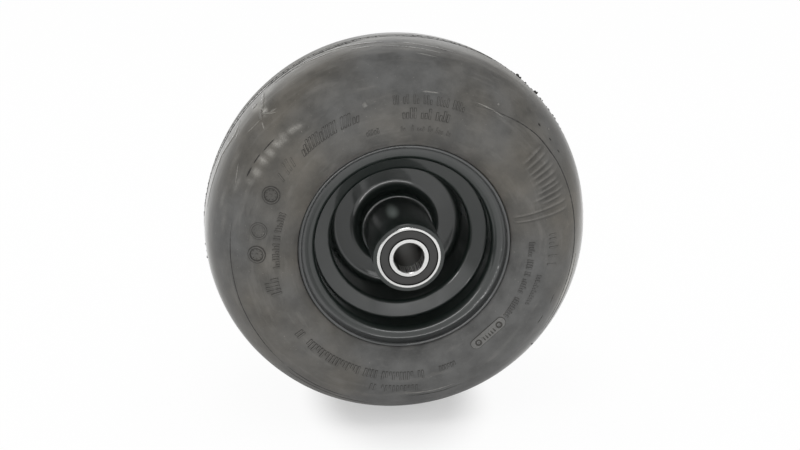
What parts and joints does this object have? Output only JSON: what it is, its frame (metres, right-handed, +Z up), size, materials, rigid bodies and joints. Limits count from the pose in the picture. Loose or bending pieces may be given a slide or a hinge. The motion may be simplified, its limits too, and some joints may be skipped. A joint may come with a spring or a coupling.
{
  "type": "mower caster wheel",
  "caption": "Caster wheel of a riding mower: smooth grey air-filled tyre on a black pressed-steel dished rim, turning on sealed ball bearings in a long hub tube.",
  "frame": {"origin": "centre of the wheel, on the axle's axis in the tyre's middle plane", "axes": "+Y along the axle towards the rear (valve) side, +Z up, the pictured side faces -Y"},
  "size_m": [0.328, 0.1774, 0.328],
  "materials": {
    "tyre_rubber": "moulded, dusty satin",
    "rim_paint": "gloss black paint",
    "hub_paint": "gloss black paint",
    "bearing_steel": "ground steel",
    "seal_rubber": "matt moulded",
    "cage_plastic": "moulded",
    "spacer_steel": "drawn tube",
    "valve_rubber": "moulded",
    "valve_brass": "turned",
    "cap_plastic": "moulded"
  },
  "bodies": {
    "axle_side": {"front_inner_ring": "bearing_steel", "rear_inner_ring": "bearing_steel", "bearing_spacer": "spacer_steel"},
    "wheel": {"tyre": "tyre_rubber", "rim_front_half": "rim_paint", "rim_rear_half": "rim_paint", "hub_tube": "hub_paint", "front_outer_ring": "bearing_steel", "rear_outer_ring": "bearing_steel", "front_outer_seal": "seal_rubber", "front_inner_seal": "seal_rubber", "rear_outer_seal": "seal_rubber", "rear_inner_seal": "seal_rubber", "valve_rubber": "valve_rubber", "valve_stem": "valve_brass", "valve_core": "valve_brass"},
    "front_ball_set": {"front_balls": "bearing_steel", "front_cage": "cage_plastic"},
    "rear_ball_set": {"rear_balls": "bearing_steel", "rear_cage": "cage_plastic"},
    "valve_cap": {"valve_cap": "cap_plastic"},
    "valve_pin": {"valve_pin": "valve_brass"}
  },
  "joints": [
    {"name": "wheel_spin", "type": "hinge", "parent": "axle_side", "child": "wheel", "pos_m": [0, 0, 0], "axis": [0, 1, 0], "continuous": true},
    {"name": "front_cage_spin", "type": "hinge", "parent": "axle_side", "child": "front_ball_set", "pos_m": [0, -0.0812, 0], "axis": [0, 1, 0], "continuous": true},
    {"name": "rear_cage_spin", "type": "hinge", "parent": "axle_side", "child": "rear_ball_set", "pos_m": [0, 0.0812, 0], "axis": [0, 1, 0], "continuous": true},
    {"name": "valve_cap_off", "type": "slide", "parent": "wheel", "child": "valve_cap", "axis": [0, 1, 0], "range_m": [0, 0.014]},
    {"name": "valve_pin_press", "type": "slide", "parent": "wheel", "child": "valve_pin", "axis": [0, -1, 0], "range_m": [0, 0.001], "stiffness_N_per_m": 800, "springref_m": -0.004}
  ],
  "couplings": [
    {"joint": "front_cage_spin", "follows": "wheel_spin", "ratio": 0.6031},
    {"joint": "rear_cage_spin", "follows": "wheel_spin", "ratio": 0.6031}
  ]
}
